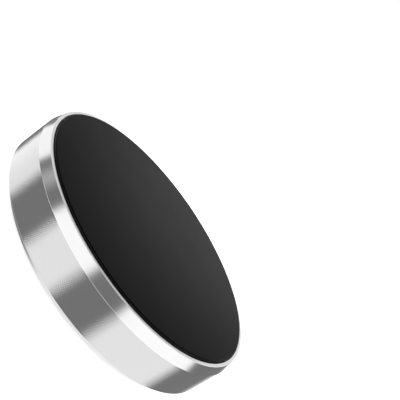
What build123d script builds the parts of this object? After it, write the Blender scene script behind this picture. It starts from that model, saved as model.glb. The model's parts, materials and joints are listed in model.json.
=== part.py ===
from build123d import *
import os

# Round magnetic phone mount, in millimetres.
# The origin is the centre of the back face, where the mount meets the dashboard.
# +Z is the mount's axis and points out of the rubber pad, towards the phone.

# ---- Housing: a turned aluminium shell, open at the back ----
outer_radius = 20.0
standoff = 0.3                 # from the dashboard to the metal
back_chamfer = 0.85
knurled_height = 4.75
cone_height = 1.45
cone_inset = 0.4               # how far the polished cone draws in
lip_width = 0.45
pad_recess_depth = 0.85
front_web = 0.8
cavity_radius = 18.0
cover_seat_radius = 18.5

# ---- Pad on the front face ----
pad_thickness = 1.0
pad_edge_gap = 0.15
pad_edge_radius = 0.2
pad_film_thickness = 0.1
film_edge_gap = 0.3

# ---- Back cover, tape and liner ----
cover_thickness = 1.8
cover_clearance = 0.1
tape_pocket_depth = 0.6
tape_radius = 17.5
tape_edge_gap = 0.1
liner_thickness = 0.1
edge_break = 0.15              # small chamfer that takes off a sharp edge

# ---- Magnets, carrier and yoke ----
magnet_count = 8
magnet_radius = 3.75
magnet_thickness = 2.5
magnet_ring_radius = 12.5
pocket_clearance = 0.05
insert_radius = 17.8           # yoke plate and carrier
yoke_thickness = 1.0
carrier_film_thickness = 0.15
key_radius = 0.9               # half-round notches that line the insert up
key_count = 3
centre_window_radius = 3.0     # hole through yoke and carrier that centres them on assembly

# ---- Cover screws ----
screw_count = 3
screw_ring_radius = 6.0
screw_radius = 0.8
screw_head_radius = 1.5
screw_head_angle = 90.0
screw_head_height = screw_head_radius - screw_radius   # a right-angled cone
screw_length = 4.2
screw_tip_chamfer = 0.4
screw_clearance_radius = 0.95
cross_length = 1.7             # cross recess in the head
cross_width = 0.35
cross_depth = 0.4

# ---- Levels along the axis, from the dashboard to the phone ----
back_z = standoff
knurl_start_z = back_z + back_chamfer
knurl_end_z = knurl_start_z + knurled_height
lip_z = knurl_end_z + cone_height
recess_floor_z = lip_z - pad_recess_depth
cavity_ceiling_z = recess_floor_z - front_web
cover_top_z = back_z + cover_thickness
tape_top_z = back_z + tape_pocket_depth
yoke_top_z = cover_top_z + yoke_thickness
carrier_top_z = cavity_ceiling_z - carrier_film_thickness
pad_bottom_z = recess_floor_z + pad_film_thickness

recess_radius = outer_radius - cone_inset - lip_width
cover_radius = cover_seat_radius - cover_clearance
tape_pocket_radius = tape_radius + tape_edge_gap

os.makedirs("parts", exist_ok=True)


# ---- Housing ----
with BuildPart() as housing:
    with BuildSketch(Plane.XZ):
        with BuildLine():
            Polyline(
                (0, cavity_ceiling_z),
                (cavity_radius, cavity_ceiling_z),
                (cavity_radius, cover_top_z),
                (cover_seat_radius, cover_top_z),
                (cover_seat_radius, back_z),
                (outer_radius - back_chamfer, back_z),
                (outer_radius, knurl_start_z),
                (outer_radius, knurl_end_z),
                (outer_radius - cone_inset, lip_z),
                (recess_radius, lip_z),
                (recess_radius, recess_floor_z),
                (0, recess_floor_z),
                close=True,
            )
        make_face()
    revolve(axis=Axis.Z)
    # Key ribs inside the cavity, which the carrier's notches slide over.
    with BuildSketch(Plane.XY.offset(yoke_top_z)):
        with PolarLocations(cavity_radius, key_count):
            Circle(key_radius)
        Circle(cavity_radius, mode=Mode.INTERSECT)
    extrude(amount=carrier_top_z - yoke_top_z)

housing.part.label = "housing"
export_step(housing.part, "parts/housing.step")


# ---- Face pad: a silicone disc with a rounded upper edge ----
with BuildPart() as face_pad:
    with BuildSketch(Plane.XY.offset(pad_bottom_z)):
        Circle(recess_radius - pad_edge_gap)
    extrude(amount=pad_thickness)
    fillet(face_pad.faces().sort_by(Axis.Z)[-1].edges(), radius=pad_edge_radius)

face_pad.part.label = "face_pad"
export_step(face_pad.part, "parts/face_pad.step")


# ---- Adhesive film under the pad ----
with BuildPart() as pad_adhesive:
    with BuildSketch(Plane.XY.offset(recess_floor_z)):
        Circle(recess_radius - film_edge_gap)
    extrude(amount=pad_film_thickness)

pad_adhesive.part.label = "pad_adhesive"
export_step(pad_adhesive.part, "parts/pad_adhesive.step")


# ---- Magnet carrier: moulded disc with through pockets and blind screw bosses ----
with BuildPart() as magnet_carrier:
    with BuildSketch(Plane.XY.offset(yoke_top_z)):
        Circle(insert_radius)
        with PolarLocations(cavity_radius, key_count):
            Circle(key_radius + pocket_clearance, mode=Mode.SUBTRACT)
        with PolarLocations(magnet_ring_radius, magnet_count):
            Circle(magnet_radius + pocket_clearance, mode=Mode.SUBTRACT)
        Circle(centre_window_radius, mode=Mode.SUBTRACT)
    extrude(amount=carrier_top_z - yoke_top_z)
    with BuildSketch(Plane.XY.offset(yoke_top_z)):
        with PolarLocations(screw_ring_radius, screw_count):
            Circle(screw_radius)
    extrude(amount=tape_top_z + screw_length - yoke_top_z, mode=Mode.SUBTRACT)
    chamfer(magnet_carrier.faces().sort_by(Axis.Z)[-1].outer_wire().edges(), length=edge_break)

magnet_carrier.part.label = "magnet_carrier"
export_step(magnet_carrier.part, "parts/magnet_carrier.step")


# ---- Adhesive film between the carrier and the housing's front web ----
with BuildPart() as carrier_adhesive:
    with BuildSketch(Plane.XY.offset(carrier_top_z)):
        Circle(insert_radius - film_edge_gap)
        with PolarLocations(magnet_ring_radius, magnet_count):
            Circle(magnet_radius + film_edge_gap, mode=Mode.SUBTRACT)
        Circle(centre_window_radius + film_edge_gap, mode=Mode.SUBTRACT)
    extrude(amount=carrier_film_thickness)

carrier_adhesive.part.label = "carrier_adhesive"
export_step(carrier_adhesive.part, "parts/carrier_adhesive.step")


# ---- Magnets: equal discs in a ring, standing on the yoke plate ----
magnet_places = PolarLocations(magnet_ring_radius, magnet_count).local_locations
for number, place in enumerate(magnet_places, start=1):
    with BuildPart() as magnet:
        with BuildSketch(Plane.XY.offset(yoke_top_z)):
            with Locations(place.position):
                Circle(magnet_radius)
        extrude(amount=magnet_thickness)
        chamfer(magnet.edges().filter_by(GeomType.CIRCLE), length=edge_break)

    magnet.part.label = f"magnet_{number}"
    export_step(magnet.part, f"parts/magnet_{number}.step")


# ---- Yoke plate: stamped steel disc that closes the magnetic circuit ----
with BuildPart() as yoke_plate:
    with BuildSketch(Plane.XY.offset(cover_top_z)):
        Circle(insert_radius)
        with PolarLocations(screw_ring_radius, screw_count):
            Circle(screw_clearance_radius, mode=Mode.SUBTRACT)
        Circle(centre_window_radius, mode=Mode.SUBTRACT)
    extrude(amount=yoke_thickness)
    chamfer(yoke_plate.faces().sort_by(Axis.Z)[0].outer_wire().edges(), length=edge_break)

yoke_plate.part.label = "yoke_plate"
export_step(yoke_plate.part, "parts/yoke_plate.step")


# ---- Back cover: closes the shell and holds the tape in a shallow pocket ----
with BuildPart() as back_cover:
    with BuildSketch(Plane.XY.offset(back_z)):
        Circle(cover_radius)
    extrude(amount=cover_thickness)
    with BuildSketch(Plane.XY.offset(back_z)):
        Circle(tape_pocket_radius)
    extrude(amount=tape_pocket_depth, mode=Mode.SUBTRACT)
    with Locations(Plane(origin=(0, 0, tape_top_z), x_dir=(1, 0, 0), z_dir=(0, 0, -1))):
        with PolarLocations(screw_ring_radius, screw_count):
            CounterSinkHole(
                radius=screw_clearance_radius,
                counter_sink_radius=screw_head_radius,
                counter_sink_angle=screw_head_angle,
            )
    chamfer(back_cover.faces().sort_by(Axis.Z)[-1].outer_wire().edges(), length=edge_break)

back_cover.part.label = "back_cover"
export_step(back_cover.part, "parts/back_cover.step")


# ---- Cover screws: countersunk, with a cross recess and a pointed end ----
with BuildPart() as cover_screws:
    with Locations((0, 0, tape_top_z)):
        with PolarLocations(screw_ring_radius, screw_count):
            Cylinder(
                radius=screw_radius,
                height=screw_length,
                align=(Align.CENTER, Align.CENTER, Align.MIN),
            )
    chamfer(
        cover_screws.faces().sort_by(Axis.Z)[-screw_count:].edges(),
        length=screw_tip_chamfer,
    )
    with Locations((0, 0, tape_top_z)):
        with PolarLocations(screw_ring_radius, screw_count):
            Cone(
                bottom_radius=screw_head_radius,
                top_radius=screw_radius,
                height=screw_head_height,
                align=(Align.CENTER, Align.CENTER, Align.MIN),
            )
    with BuildSketch(Plane.XY.offset(tape_top_z)):
        with PolarLocations(screw_ring_radius, screw_count):
            Rectangle(cross_length, cross_width)
            Rectangle(cross_width, cross_length)
    extrude(amount=cross_depth, mode=Mode.SUBTRACT)

cover_screws.part.label = "cover_screws"
export_step(cover_screws.part, "parts/cover_screws.step")


# ---- Foam tape, standing proud of the metal ----
with BuildPart() as foam_tape:
    with BuildSketch(Plane.XY.offset(liner_thickness)):
        Circle(tape_radius)
    extrude(amount=tape_top_z - liner_thickness)

foam_tape.part.label = "foam_tape"
export_step(foam_tape.part, "parts/foam_tape.step")


# ---- Release liner on the tape's free face ----
with BuildPart() as release_liner:
    with BuildSketch():
        Circle(tape_radius)
    extrude(amount=liner_thickness)

release_liner.part.label = "release_liner"
export_step(release_liner.part, "parts/release_liner.step")
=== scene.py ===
import json
import math

import bpy
import numpy as np
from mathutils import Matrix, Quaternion, Vector


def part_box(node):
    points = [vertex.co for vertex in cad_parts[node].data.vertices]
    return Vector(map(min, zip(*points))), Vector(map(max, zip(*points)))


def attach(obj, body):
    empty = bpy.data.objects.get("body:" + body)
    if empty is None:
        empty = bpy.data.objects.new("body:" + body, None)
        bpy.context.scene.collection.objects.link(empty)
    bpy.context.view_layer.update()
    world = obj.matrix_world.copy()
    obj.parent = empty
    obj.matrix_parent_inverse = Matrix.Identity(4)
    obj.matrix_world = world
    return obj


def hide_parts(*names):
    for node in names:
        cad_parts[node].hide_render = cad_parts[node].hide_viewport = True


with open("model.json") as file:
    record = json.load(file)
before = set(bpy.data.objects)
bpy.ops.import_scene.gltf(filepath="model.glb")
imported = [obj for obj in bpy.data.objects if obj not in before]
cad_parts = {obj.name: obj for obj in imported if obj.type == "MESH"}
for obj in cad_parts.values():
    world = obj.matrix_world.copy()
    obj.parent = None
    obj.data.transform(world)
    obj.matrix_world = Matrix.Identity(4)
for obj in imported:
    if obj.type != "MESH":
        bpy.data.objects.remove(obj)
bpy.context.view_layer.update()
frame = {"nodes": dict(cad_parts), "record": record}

MM = 0.001

# ---- Sizes, from the frame and from the shell's own small features ----
housing_low, housing_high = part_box("housing")
pad_low, pad_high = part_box("face_pad")
tape_low, tape_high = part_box("foam_tape")
liner_low, liner_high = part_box("release_liner")
cover_top_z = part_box("back_cover")[1].z
carrier_low, carrier_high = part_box("magnet_carrier")

outer_radius = housing_high.x
pad_radius = pad_high.x
tape_radius = tape_high.x
liner_radius = liner_high.x

back_chamfer = 0.85 * MM
knurled_height = 4.75 * MM
cone_inset = 0.4 * MM
lip_width = 0.45 * MM
pad_film = 0.1 * MM
pad_edge_radius = 0.2 * MM
front_web = 0.8 * MM
cavity_radius = 18.0 * MM
cover_seat_radius = 18.5 * MM
rib_radius = 0.9 * MM          # half-round key ribs on the cavity wall
rib_count = 3

back_z = housing_low.z
lip_z = housing_high.z
knurl_start_z = back_z + back_chamfer
knurl_end_z = knurl_start_z + knurled_height
recess_radius = outer_radius - cone_inset - lip_width
recess_floor_z = pad_low.z - pad_film
cavity_ceiling_z = recess_floor_z - front_web

# The knurl is a mesh of shallow diamond pyramids, two columns and two rows to each.
knurl_count = 465
knurl_pitch = 2 * math.pi * outer_radius / knurl_count
knurl_depth = 0.0033 * MM
knurl_border = 0.09 * MM       # smooth land above and below the knurl
knurl_rows = 2 * int((knurled_height - 2 * knurl_border) / knurl_pitch)
knurl_bevel = (0.011 * MM, 0.021 * MM)     # inset and height of the knurled band's top edge
edge_radius = 0.06 * MM
lip_edge_radius = 0.045 * MM
fine_edge_radius = 0.03 * MM
recess_edge_radius = 0.012 * MM
arc_steps = 5
support = 0.006 * MM           # from a corner to the extra points beside it

shell_columns = 2 * knurl_count
soft_columns = 360
web_shares = (0.3, 0.6, 0.85)            # rings across the shell's front web, as shares of its radius
pad_shares = (0.2, 0.4, 0.6, 0.8)        # the same for the pad
inner_share = 0.5                        # the same for the tape and the liner
tape_ragged = 0.02 * MM                  # how far the tape's cut edge wanders
tape_rows = 8
# Waves in the tape's edge: how many go round, their twist from face to face and their start, in radians.
tape_waves = ((71, 5, 0), (113, -9, 1), (167, 13, 2))


# ---- Mesh building ----
def profile(outline):
    """(radius, height) points of an outline. A corner given as (radius, height, fillet) is an arc.
    Close supports on both sides of every corner keep the straight runs true when shaded smooth."""
    points = [tuple(outline[0][:2])]
    for i in range(1, len(outline) - 1):
        corner = outline[i]
        here = Vector(corner[:2])
        before = (Vector(outline[i - 1][:2]) - here).normalized()
        after = (Vector(outline[i + 1][:2]) - here).normalized()
        if len(corner) == 2:
            points += [tuple(here + before * support), tuple(here), tuple(here + after * support)]
            continue
        half = before.angle(after) / 2
        reach = corner[2] / math.tan(half)
        centre = here + (before + after).normalized() * (corner[2] / math.sin(half))
        start = here + before * reach - centre
        sweep = start.angle_signed(here + after * reach - centre)
        points.append(tuple(here + before * (reach + support)))
        for step in range(arc_steps + 1):
            turn = -sweep * step / arc_steps
            c, s = math.cos(turn), math.sin(turn)
            points.append((centre.x + c * start.x - s * start.y, centre.y + s * start.x + c * start.y))
        points.append(tuple(here + after * (reach + support)))
    return points + [tuple(outline[-1][:2])]


class Lathe:
    """A body of revolution that starts and ends on the axis, built ring by ring."""

    def __init__(self, columns):
        self.columns = columns
        self.angles = np.arange(columns) * 2 * math.pi / columns
        self.verts, self.faces, self.flat = [], [], []
        self.last = None

    def pole(self, height):
        self.verts.append((0.0, 0.0, height))
        pole = len(self.verts) - 1
        if self.last is not None:
            ring, n = self.last, self.columns
            for i in range(n):
                self.add(ring[i], ring[(i + 1) % n], pole)
        self.last = pole

    def ring(self, radii, height, diamonds=None):
        """One ring. radii is a number or one radius for each column, and where it meets the ring
        before, the two share vertices. diamonds is the ring's number within the knurl, which
        splits the faces between it and the ring before along the grooves."""
        radii = np.broadcast_to(radii, self.columns)
        ring = []
        for i, (x, y) in enumerate(zip(radii * np.sin(self.angles), -radii * np.cos(self.angles))):
            place = (float(x), float(y), height)
            if isinstance(self.last, list) and self.verts[self.last[i]] == place:
                ring.append(self.last[i])
            else:
                ring.append(len(self.verts))
                self.verts.append(place)
        n = self.columns
        for i in range(n):
            j = (i + 1) % n
            if isinstance(self.last, int):
                self.add(self.last, ring[j], ring[i])
            elif self.last is not None:
                a, b, c, d = self.last[i], self.last[j], ring[j], ring[i]
                if diamonds is None:
                    self.add(a, b, c, d)
                elif (i + diamonds) % 2:
                    self.add(a, b, d, flat=True)
                    self.add(c, d, b, flat=True)
                else:
                    self.add(a, b, c, flat=True)
                    self.add(a, c, d, flat=True)
        self.last = ring

    def rings(self, points):
        for radius, height in points:
            self.ring(radius, height)

    def add(self, *corners, flat=False):
        """One face. Corners that share a vertex count once, and what is left may be no face at all."""
        face = tuple(dict.fromkeys(corners))
        if len(face) > 2:
            self.faces.append(face)
            self.flat.append(flat)

    def piece(self, name):
        mesh = bpy.data.meshes.new(name)
        mesh.from_pydata(self.verts, [], self.faces)
        mesh.polygons.foreach_set("use_smooth", [not f for f in self.flat])
        mesh.validate()
        mesh.update()
        made = bpy.data.objects.new(name, mesh)
        bpy.context.scene.collection.objects.link(made)
        return made


def mount_piece(piece, node, material):
    """The piece rides on the mount's one body and stands for its CAD node."""
    piece.data.materials.append(material)
    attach(piece, "root")
    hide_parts(node)
    return piece


# ---- Materials ----
class Nodes:
    """A node tree, and short ways to add to it. An input is a number or another node's output."""

    def __init__(self, tree):
        self.tree = tree

    def node(self, kind, inputs=(), **settings):
        made = self.tree.nodes.new(kind)
        for key, value in settings.items():
            setattr(made, key, value)
        for key, value in dict(inputs).items():
            if isinstance(value, bpy.types.NodeSocket):
                self.tree.links.new(value, made.inputs[key])
            else:
                made.inputs[key].default_value = value
        return made

    def math(self, operation, *values):
        return self.node("ShaderNodeMath", dict(enumerate(values)), operation=operation).outputs[0]


class Surface(Nodes):
    """A node material around one Principled shader, with textures in the frame's own coordinates."""

    def __init__(self, name, **sockets):
        self.material = bpy.data.materials.new(name)
        self.material.use_nodes = True
        super().__init__(self.material.node_tree)
        self.shader = self.tree.nodes["Principled BSDF"]
        for socket, value in sockets.items():
            self.shader.inputs[socket.replace("_", " ")].default_value = value
        self.place = self.node("ShaderNodeTexCoord").outputs["Object"]

    def noise(self, size, detail=3.0, stretch=None):
        """Noise with features of about this size, stretched along the axes if asked."""
        place = self.place
        if stretch:
            place = self.node("ShaderNodeMapping", {"Vector": place, "Scale": stretch}).outputs[0]
        texture = self.node(
            "ShaderNodeTexNoise", {"Vector": place, "Scale": 1 / size, "Detail": detail}
        )
        return texture.outputs["Fac"]

    def cells(self, size):
        texture = self.node("ShaderNodeTexVoronoi", {"Vector": self.place, "Scale": 1 / size})
        return texture.outputs["Distance"]

    def spread(self, value, low, high, start=0.3, end=0.7):
        """value from start to end becomes low to high."""
        inputs = {"Value": value, "From Min": start, "From Max": end, "To Min": low, "To Max": high}
        return self.node("ShaderNodeMapRange", inputs).outputs[0]

    def colour(self, value, dark, light, start=0.3, end=0.7):
        ramp = self.node("ShaderNodeValToRGB", {"Fac": value})
        for stop, place, shade in zip(ramp.color_ramp.elements, (start, end), (dark, light)):
            stop.position = place
            stop.color = (*shade, 1)
        self.link(ramp.outputs["Color"], "Base Color")

    def rough(self, value, low, high):
        self.link(self.spread(value, low, high), "Roughness")

    def bump(self, value, height):
        """Relief of this height, in metres."""
        relief = self.node("ShaderNodeBump", {"Height": value, "Distance": height})
        self.link(relief.outputs["Normal"], "Normal")

    def link(self, output, socket):
        self.tree.links.new(output, self.shader.inputs[socket])


def turned_marks(nodes, size):
    """Fine rings round the axis, as a cutting tool leaves them."""
    x, y, z = nodes.node("ShaderNodeSeparateXYZ", {"Vector": nodes.place}).outputs
    squares = nodes.math("ADD", nodes.math("MULTIPLY", x, x), nodes.math("MULTIPLY", y, y))
    along = nodes.math("SUBTRACT", z, nodes.math("SQRT", squares))
    texture = nodes.node(
        "ShaderNodeTexNoise", {"W": along, "Scale": 1 / size, "Detail": 2.0}, noise_dimensions="1D"
    )
    return texture.outputs["Fac"]


def fine_turned(name, dark, light, roughness):
    """Aluminium with fine turning marks. The cone is polished, and the lip less so."""
    nodes = Surface(name, Metallic=1.0)
    marks = turned_marks(nodes, 0.06 * MM)
    nodes.colour(nodes.noise(3 * MM), dark, light)
    nodes.rough(marks, *roughness)
    nodes.bump(marks, 0.0002 * MM)
    return nodes.material


def knurled_aluminium():
    nodes = Surface("knurled_aluminium", Metallic=1.0)
    nodes.colour(nodes.noise(0.1 * MM), (0.72, 0.72, 0.725), (0.76, 0.76, 0.76))
    nodes.rough(nodes.noise(0.15 * MM), 0.1, 0.13)
    return nodes.material


def machined_aluminium():
    """The inside of the shell, as the tool left it."""
    nodes = Surface("machined_aluminium", Metallic=1.0, Anisotropic=0.4)
    marks = turned_marks(nodes, 0.12 * MM)
    nodes.colour(marks, (0.74, 0.74, 0.75), (0.86, 0.86, 0.86))
    nodes.rough(marks, 0.28, 0.42)
    nodes.bump(marks, 0.002 * MM)
    tangent = nodes.node("ShaderNodeTangent", direction_type="RADIAL", axis="Z")
    nodes.link(tangent.outputs[0], "Tangent")
    return nodes.material


def silicone(name, shine):
    """Near black of its own, so that it shows by what it mirrors."""
    nodes = Surface(name, IOR=1.4, Specular_IOR_Level=shine)
    grain = nodes.noise(0.05 * MM, detail=2.0)
    cloud = nodes.noise(6 * MM)
    nodes.colour(cloud, (0.0006, 0.0006, 0.0006), (0.0009, 0.0009, 0.0009))
    nodes.rough(cloud, 0.17, 0.2)
    nodes.bump(grain, 0.0012 * MM)
    return nodes.material


def moulded_plastic(name, dark, light, grain_size):
    """Near-black plastic, a trace bluer than grey."""
    dark, light = ((shade, shade, shade + 0.002) for shade in (dark, light))
    nodes = Surface(name, IOR=1.5)
    grain = nodes.noise(grain_size, detail=4.0)
    nodes.colour(nodes.noise(4 * MM), dark, light)
    nodes.rough(grain, 0.42, 0.6)
    nodes.bump(grain, 0.006 * MM)
    return nodes.material


def nickel_plate():
    nodes = Surface("nickel_plate", Metallic=1.0)
    stain = nodes.noise(1.6 * MM, detail=5.0)
    nodes.colour(stain, (0.66, 0.63, 0.57), (0.76, 0.73, 0.68))
    nodes.rough(stain, 0.14, 0.26)
    nodes.bump(nodes.noise(0.25 * MM), 0.001 * MM)
    return nodes.material


def zinc_plate(name, spangle):
    nodes = Surface(name, Metallic=1.0)
    grains = nodes.cells(spangle)
    nodes.colour(grains, (0.52, 0.53, 0.55), (0.68, 0.69, 0.70), start=0.1, end=0.8)
    nodes.rough(nodes.noise(0.6 * MM), 0.28, 0.42)
    nodes.bump(grains, 0.002 * MM)
    return nodes.material


def adhesive():
    nodes = Surface("adhesive", IOR=1.47, Coat_Weight=0.3, Coat_Roughness=0.2)
    bubbles = nodes.cells(0.9 * MM)
    nodes.colour(bubbles, (0.70, 0.66, 0.52), (0.82, 0.78, 0.66), start=0.1, end=0.6)
    nodes.rough(nodes.noise(1.2 * MM), 0.25, 0.4)
    nodes.bump(bubbles, 0.004 * MM)
    return nodes.material


def tape_foam():
    nodes = Surface("tape_foam", IOR=1.45)
    pores = nodes.cells(0.11 * MM)
    nodes.colour(pores, (0.02, 0.02, 0.022), (0.07, 0.07, 0.072), start=0.1, end=0.7)
    nodes.rough(nodes.noise(0.3 * MM), 0.75, 0.95)
    nodes.bump(pores, 0.02 * MM)
    return nodes.material


def liner_paper():
    nodes = Surface("liner_paper", IOR=1.45)
    fibres = nodes.noise(0.35 * MM, detail=6.0, stretch=(1, 3, 1))
    nodes.colour(fibres, (0.80, 0.79, 0.75), (0.90, 0.89, 0.86))
    nodes.rough(fibres, 0.38, 0.55)
    nodes.bump(fibres, 0.003 * MM)
    return nodes.material


# ---- Shell ----
def ribbed_radius(angles):
    """The cavity wall's radius at these angles from -Y. The first rib stands at +X."""
    spacing = 2 * math.pi / rib_count
    off = np.abs((angles - math.pi / 2 + spacing / 2) % spacing - spacing / 2)
    across = cavity_radius * np.sin(off)
    inside = across < rib_radius
    depth = np.sqrt(np.where(inside, rib_radius**2 - across**2, 0))
    return cavity_radius * np.where(inside, np.cos(off), 1) - depth


def make_housing():
    shell = Lathe(shell_columns)
    shell.pole(cavity_ceiling_z)
    # Inside: front web, cavity wall with its key ribs, cover seat.
    ribs = ribbed_radius(shell.angles)
    shell.rings([(cavity_radius * share, cavity_ceiling_z) for share in (*web_shares, 1.0)])
    shell.ring(cavity_radius, carrier_high.z)
    shell.ring(ribs, carrier_high.z)
    shell.ring(ribs, carrier_low.z)
    shell.ring(cavity_radius, carrier_low.z)
    shell.rings(
        profile(
            [
                (cavity_radius, cover_top_z),
                (cover_seat_radius, cover_top_z),
                (cover_seat_radius, back_z, edge_radius),
                (outer_radius - back_chamfer, back_z, edge_radius),
                (outer_radius, knurl_start_z, edge_radius),
                (outer_radius, knurl_start_z + knurl_border),
            ]
        )
    )
    # Knurl: the two ends stay on the land's radius, and the grooves lie under it.
    start = knurl_start_z + knurl_border
    height = knurled_height - 2 * knurl_border
    columns = np.arange(shell_columns)
    for row in range(1, knurl_rows):
        grooved = (columns + row) % 2 == 1
        shell.ring(outer_radius - knurl_depth * grooved, start + height * row / knurl_rows, row)
    shell.ring(outer_radius, start + height, knurl_rows)
    shell.rings(
        profile(
            [
                (outer_radius, start + height + support),
                (outer_radius, knurl_end_z),
                (outer_radius - knurl_bevel[0], knurl_end_z + knurl_bevel[1]),
                (outer_radius - cone_inset, lip_z, lip_edge_radius),
                (recess_radius, lip_z, recess_edge_radius),
                (recess_radius, recess_floor_z),
            ]
        )
    )
    shell.rings([(recess_radius * share, recess_floor_z) for share in web_shares[::-1]])
    shell.pole(recess_floor_z)
    return shell.piece("housing_shell")


def paint_housing(shell, knurled, machined, satin):
    """The shell's own material is the polished one. Its side is knurled, its lip satin and its
    inside machined."""
    upright, level = 0.2, 0.9       # limits for the upward part of a face's normal
    for material in (knurled, machined, satin):
        shell.data.materials.append(material)
    for face in shell.data.polygons:
        radius = math.hypot(face.center.x, face.center.y)
        if radius < recess_radius - edge_radius and face.center.z < lip_z - edge_radius:
            face.material_index = 2
        elif abs(face.normal.z) < upright and knurl_start_z < face.center.z < knurl_end_z:
            face.material_index = 1
        elif radius > recess_radius and face.normal.z > level:
            face.material_index = 3


# ---- Pad, tape and liner ----
def make_pad():
    pad = Lathe(soft_columns)
    pad.pole(pad_low.z)
    pad.rings([(pad_radius * share, pad_low.z) for share in pad_shares[:-1]])
    pad.rings(
        profile(
            [
                (pad_radius * pad_shares[-1], pad_low.z),
                (pad_radius, pad_low.z, fine_edge_radius),
                (pad_radius, pad_high.z, pad_edge_radius),
                (pad_radius * pad_shares[-1], pad_high.z),
            ]
        )
    )
    pad.rings([(pad_radius * share, pad_high.z) for share in pad_shares[-2::-1]])
    pad.pole(pad_high.z)
    return pad.piece("silicone_face")


def paint_pad(pad, glossy):
    """The moulded face is matte, the cut edge below its rim glossy."""
    pad.data.materials.append(glossy)
    for face in pad.data.polygons:
        if face.center.z < pad_high.z - 0.5 * pad_edge_radius:
            face.material_index = 1


def make_tape():
    """A die-cut foam disc: its cut edge is a little ragged and bows out between the faces."""
    tape = Lathe(soft_columns)
    tape.pole(tape_low.z)
    tape.ring(tape_radius * inner_share, tape_low.z)
    for row in range(tape_rows + 1):
        share = row / tape_rows
        waves = [np.sin(count * tape.angles + twist * share + start) for count, twist, start in tape_waves]
        wander = tape_ragged * (sum(waves) / len(waves) - 1) / 2
        bow = tape_ragged * (math.sin(math.pi * share) - 1)
        height = tape_low.z + (tape_high.z - tape_low.z) * share
        tape.ring(tape_radius + bow + wander, height)
    tape.ring(tape_radius * inner_share, tape_high.z)
    tape.pole(tape_high.z)
    return tape.piece("foam_disc")


def make_liner():
    liner = Lathe(soft_columns)
    paper_edge_radius = 0.2 * fine_edge_radius
    liner.pole(liner_low.z)
    liner.rings(
        profile(
            [
                (liner_radius * inner_share, liner_low.z),
                (liner_radius, liner_low.z, paper_edge_radius),
                (liner_radius, liner_high.z, paper_edge_radius),
                (liner_radius * inner_share, liner_high.z),
            ]
        )
    )
    liner.pole(liner_high.z)
    return liner.piece("liner_disc")


polished = fine_turned("polished_aluminium", (0.915, 0.915, 0.92), (0.945, 0.945, 0.945), (0.13, 0.17))
satin = fine_turned("satin_aluminium", (0.955, 0.955, 0.955), (0.975, 0.975, 0.975), (0.24, 0.3))
shell = mount_piece(make_housing(), "housing", polished)
paint_housing(shell, knurled_aluminium(), machined_aluminium(), satin)
pad = mount_piece(make_pad(), "face_pad", silicone("matte_silicone", 0.0325))
paint_pad(pad, silicone("glossy_silicone", 0.24))
tape = mount_piece(make_tape(), "foam_tape", tape_foam())
mount_piece(make_liner(), "release_liner", liner_paper())

# ---- CAD nodes that stay: better materials ----
finishes = {
    "adhesive_film": adhesive(),
    "carrier_plastic": moulded_plastic("carrier_plastic", 0.03, 0.05, 0.12 * MM),
    "cover_plastic": moulded_plastic("cover_plastic", 0.02, 0.035, 0.08 * MM),
    "magnet_nickel": nickel_plate(),
    "zinc_plated_steel": zinc_plate("zinc_plated_steel", 1.2 * MM),
    "screw_steel": zinc_plate("screw_steel", 0.3 * MM),
}
for part in frame["record"]["subparts"]:
    node = frame["nodes"][part["node"]]
    if part["material_slot"] in finishes:
        node.data.materials.clear()
        node.data.materials.append(finishes[part["material_slot"]])


# ---- Floor ----
def make_floor():
    half = 2.0       # metres
    corners = [(-half, -half, 0), (half, -half, 0), (half, half, 0), (-half, half, 0)]
    mesh = bpy.data.meshes.new("floor")
    mesh.from_pydata(corners, [], [(0, 1, 2, 3)])
    floor = bpy.data.objects.new("floor", mesh)
    bpy.context.scene.collection.objects.link(floor)
    nodes = Surface("floor", Roughness=0.9, Emission_Color=(1, 1, 1, 1), Emission_Strength=0.5)
    nodes.colour(nodes.noise(0.4), (0.90, 0.90, 0.90), (0.91, 0.91, 0.91))
    mesh.materials.append(nodes.material)
    floor.visible_glossy = False       # the metal mirrors the studio, not the table it lies on


make_floor()


# ---- Studio: soft boxes all round and a white tent above them, in a world shader ----
# Bearings go round the mount, in degrees to the right of the camera's side. Heights are in degrees
# above the horizon. A level is how bright that part of the studio is.
floor_light = 1.5                       # on what doesn't mirror the studio
backdrop = 1.0                          # what the camera sees past the floor
# One soft box a row: its first and last bearing, how far it flares on both sides towards its top
# (less than zero where it narrows), and its level.
soft_boxes = (
    (-139.5, -90.0, -7.0, 0.98),
    (-47, -6, 4.0, 1.02),
    (34, 101, 3.0, 1.04),
    (149, 190, -16.0, 0.9),
)
box_edge = 8                            # width of a soft box's faded edge
flare_heights = (-27, 2)
gap_heights, gap_levels = (-25, -5), (0.22, 0.15)              # between the soft boxes
left_bearings, left_gain = (-140, -95), (1.18, 1.0)            # the left box, brighter to its left
left_heights = (-22, -14)                                      # and only low down
panel_bearing, panel_half, panel_level = -77, 13, 0.25         # a faint panel in one gap
panel_heights = (-15, -8)
tent_heights = (12, 17)
fall_heights, fall_levels = (15, 30), (1.15, 0.45)             # the tent, darker higher up
back_bearings, back_levels = (158, 180), (0.6, 1.3)            # the tent behind the mount
flank_bearings, flank_levels = (157, 167), (1.0, 0.0)          # what the tent's other sides add
overhead_heights, overhead_level = (38, 55), 0.12
below_heights, below_level = (-60, -48), 0.8


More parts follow.
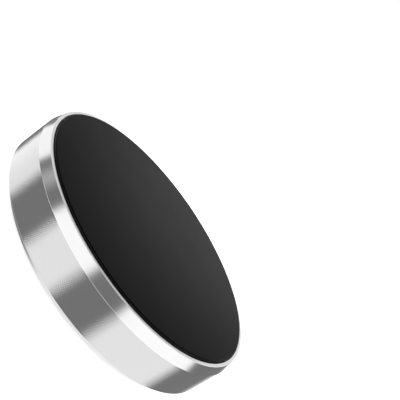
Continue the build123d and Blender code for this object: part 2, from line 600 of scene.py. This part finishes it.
class Sky(Nodes):
    """The world's node tree. Angles are given in degrees."""

    def ease(self, angle, between, levels):
        """The first level up to the first angle, the second from the second on, smooth between."""
        first, last = (math.radians(edge) for edge in between)
        inputs = {"Value": angle, "From Min": first, "From Max": last}
        inputs.update({"To Min": levels[0], "To Max": levels[1]})
        return self.node("ShaderNodeMapRange", inputs, interpolation_type="SMOOTHSTEP").outputs[0]

    def mix(self, first, second, share):
        return self.node("ShaderNodeMix", {"A": first, "B": second, "Factor": share}).outputs["Result"]

    def apart(self, bearing, centre):
        """How far the bearing is from the centre, the short way round."""
        off = self.math("SUBTRACT", bearing, math.radians(centre))
        return self.math("ABSOLUTE", self.math("WRAP", off, math.pi, -math.pi))


def box_lights(sky, bearing, height):
    """The soft boxes and the gaps between them."""
    level = sky.ease(height, gap_heights, gap_levels)
    rise = sky.ease(height, flare_heights, (0.0, 1.0))
    left = sky.ease(bearing, left_bearings, left_gain)
    left = sky.mix(left, 1.0, sky.ease(height, left_heights, (0.0, 1.0)))
    for start, end, flare, box_level in soft_boxes:
        flared = sky.math("MULTIPLY", rise, math.radians(flare))
        off = sky.math("SUBTRACT", sky.apart(bearing, (start + end) / 2), flared)
        half = (end - start) / 2
        box = sky.ease(off, (half - box_edge / 2, half + box_edge / 2), (1.0, 0.0))
        level = sky.mix(level, sky.math("MULTIPLY", left, box_level), box)
    panel = sky.ease(sky.apart(bearing, panel_bearing), (0, panel_half), (panel_level, 0.0))
    upper = sky.ease(height, panel_heights, (0.0, 1.0))
    return sky.math("ADD", level, sky.math("MULTIPLY", panel, upper))


def tent_light(sky, bearing, height):
    """Brightest low down behind the mount, and dark overhead."""
    away = sky.math("ABSOLUTE", bearing)
    back = sky.ease(away, back_bearings, back_levels)
    flanks = sky.ease(away, flank_bearings, flank_levels)
    around = sky.math("ADD", back, flanks)
    level = sky.math("MULTIPLY", sky.ease(height, fall_heights, fall_levels), around)
    return sky.mix(level, overhead_level, sky.ease(height, overhead_heights, (0.0, 1.0)))


def make_studio():
    world = bpy.data.worlds.new("studio")
    bpy.context.scene.world = world
    world.use_nodes = True
    sky = Sky(world.node_tree)
    direction = sky.node("ShaderNodeTexCoord").outputs["Generated"]
    x, y, z = sky.node("ShaderNodeSeparateXYZ", {"Vector": direction}).outputs
    bearing = sky.math("ARCTAN2", x, sky.math("MULTIPLY", y, -1.0))
    height = sky.math("ARCSINE", z)
    boxes = box_lights(sky, bearing, height)
    tent = sky.ease(height, tent_heights, (0.0, 1.0))
    mirrored = sky.mix(boxes, tent_light(sky, bearing, height), tent)
    mirrored = sky.mix(mirrored, below_level, sky.ease(height, below_heights, (1.0, 0.0)))
    # Only mirror rays see this studio. The rest is lit evenly, and the backdrop is plain.
    rays = sky.node("ShaderNodeLightPath").outputs
    level = sky.mix(floor_light, mirrored, rays["Is Glossy Ray"])
    level = sky.mix(level, backdrop, rays["Is Camera Ray"])
    background = sky.tree.nodes["Background"]
    background.inputs["Color"].default_value = (1, 1, 1, 1)
    sky.tree.links.new(level, background.inputs["Strength"])


make_studio()
bpy.context.scene.view_settings.view_transform = "Standard"


# ---- Camera ----
def make_camera():
    place = Vector((0, -79.64, 37.6)) * MM
    aim = Vector((-0.43, 39.64, 3.7)) * MM
    roll = math.radians(55.92)
    data = bpy.data.cameras.new("camera")
    data.lens = 56.97
    data.sensor_width = 36
    data.clip_start = 1 * MM
    data.clip_end = 10
    camera = bpy.data.objects.new("camera", data)
    bpy.context.scene.collection.objects.link(camera)
    camera.location = place
    camera.rotation_mode = "QUATERNION"
    camera.rotation_quaternion = (aim - place).to_track_quat("-Z", "Y") @ Quaternion((0, 0, 1), roll)
    bpy.context.scene.camera = camera


make_camera()
